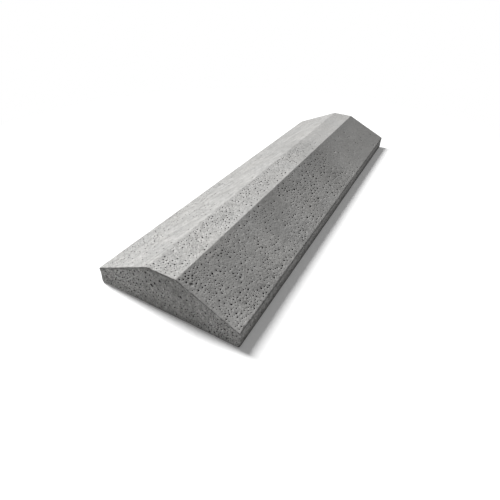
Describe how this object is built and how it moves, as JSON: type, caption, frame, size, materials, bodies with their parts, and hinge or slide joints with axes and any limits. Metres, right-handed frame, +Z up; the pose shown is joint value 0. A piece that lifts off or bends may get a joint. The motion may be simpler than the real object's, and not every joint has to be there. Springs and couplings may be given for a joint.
{
  "type": "concrete wall coping",
  "caption": "Precast concrete coping with a flat crown between two weathered slopes, upright edges and stopped drip throats under both sides.",
  "frame": {"origin": "middle of the bed face, on the surface that the coping lies on", "axes": "+X along the coping, +Y across the wall, +Z up from the bed to the crown"},
  "size_m": [1, 0.3, 0.09],
  "materials": {
    "concrete": "matte"
  },
  "bodies": {
    "root": {"coping": "concrete"}
  },
  "joints": []
}
